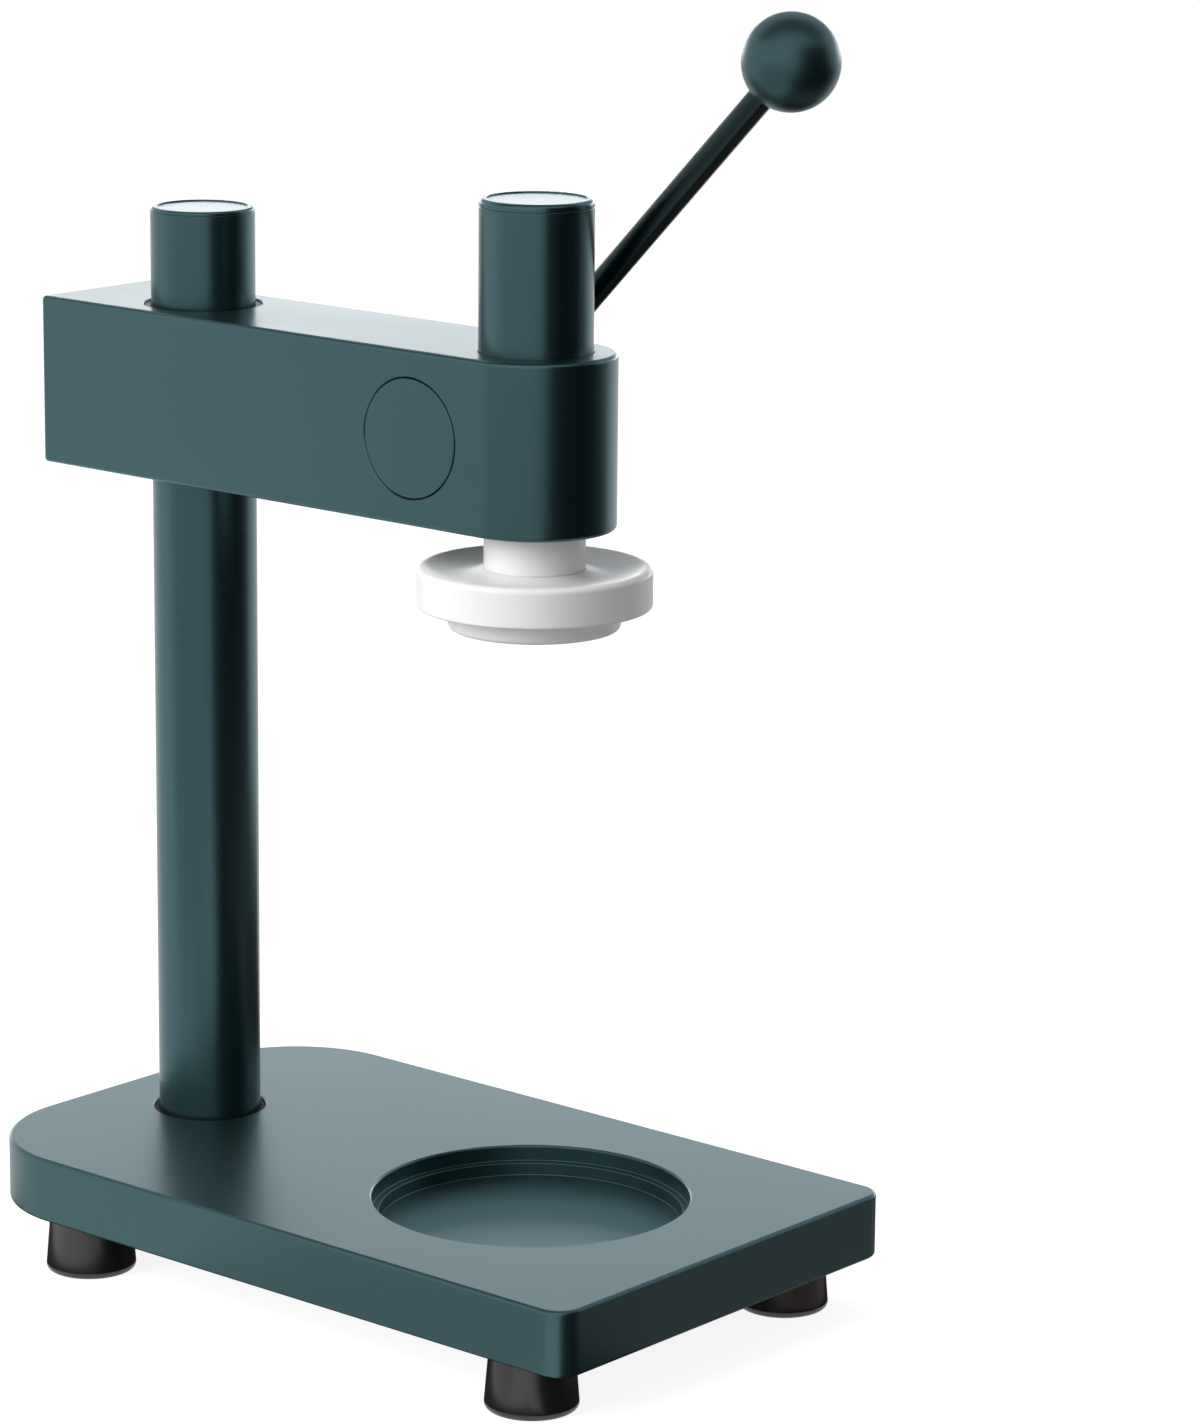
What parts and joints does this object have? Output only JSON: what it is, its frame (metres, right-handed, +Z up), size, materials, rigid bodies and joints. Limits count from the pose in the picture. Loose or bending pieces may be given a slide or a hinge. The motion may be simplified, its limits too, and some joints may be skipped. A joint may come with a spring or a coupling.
{
  "type": "can seamer",
  "caption": "Bench hand press for closing cans: base with a round can seat, post, arm set at a height, and a side lever whose pinion drives a ram with a press disc.",
  "frame": {"origin": "centre of the can seat's floor, on the ram's axis", "axes": "+Z up along the ram, +X from the post towards the ram, +Y towards the side with the lever"},
  "size_m": [0.2649, 0.15, 0.3955],
  "materials": {
    "painted_alloy": "satin dark teal-green paint over cast alloy",
    "painted_steel": "satin dark teal-green paint",
    "lever_paint": "satin very dark teal paint",
    "knob_plastic": "polished very dark teal plastic",
    "white_plastic": "soft satin turned white plastic",
    "black_plastic": "matte black bearing plastic",
    "foot_rubber": "satin black rubber",
    "fastener_steel": "bright zinc-plated steel",
    "black_steel": "black oxide steel",
    "gear_steel": "oiled ground steel",
    "bush_bronze": "sintered bronze",
    "pad_brass": "turned brass"
  },
  "bodies": {
    "stand": {"base_plate": "painted_alloy", "foot_front_left": "foot_rubber", "foot_front_right": "foot_rubber", "foot_rear_left": "foot_rubber", "foot_rear_right": "foot_rubber", "foot_screws": "fastener_steel", "foot_washers": "fastener_steel", "post": "painted_steel", "post_seat_ring": "black_plastic", "post_cap": "painted_steel", "post_bolt": "fastener_steel", "post_washer": "fastener_steel"},
    "head": {"arm_body": "painted_alloy", "post_bush_upper": "black_plastic", "post_bush_lower": "black_plastic", "clamp_screws": "black_steel", "clamp_pads": "pad_brass", "ram_tube": "painted_steel", "ram_tube_cap": "painted_steel", "ram_bush_upper": "black_plastic", "ram_bush_lower": "black_plastic", "pinion_cover": "painted_steel", "shaft_bush_near": "bush_bronze", "shaft_bush_far": "bush_bronze", "stop_pin": "fastener_steel", "spring_hanger": "fastener_steel", "return_spring": "fastener_steel"},
    "lever": {"pinion_shaft": "gear_steel", "pinion": "gear_steel", "pinion_key": "gear_steel", "shaft_circlip": "black_steel", "lever_hub": "painted_steel", "hub_key": "gear_steel", "hub_washer": "fastener_steel", "hub_screw": "black_steel", "lever_rod": "lever_paint", "rod_set_screw": "black_steel", "ball_knob": "knob_plastic"},
    "ram_group": {"ram": "white_plastic", "rack": "gear_steel", "rack_screws": "black_steel", "spring_pin": "fastener_steel", "press_disc": "white_plastic", "press_disc_washer": "fastener_steel", "press_disc_screw": "fastener_steel"}
  },
  "joints": [
    {"name": "arm_height", "type": "slide", "parent": "stand", "child": "head", "axis": [0, 0, 1], "range_m": [-0.075, 0.02]},
    {"name": "lever_swing", "type": "hinge", "parent": "head", "child": "lever", "pos_m": [-0.028, 0, 0.2397], "axis": [0, 1, 0], "range_deg": [0, 95]},
    {"name": "ram_slide", "type": "slide", "parent": "head", "child": "ram_group", "axis": [0, 0, -1], "range_m": [0, 0.0262], "stiffness_N_per_m": 300, "springref_m": -0.04, "deforming": ["return_spring"]}
  ],
  "couplings": [
    {"joint": "ram_slide", "follows": "lever_swing", "m_per_rad": 0.01575}
  ]
}
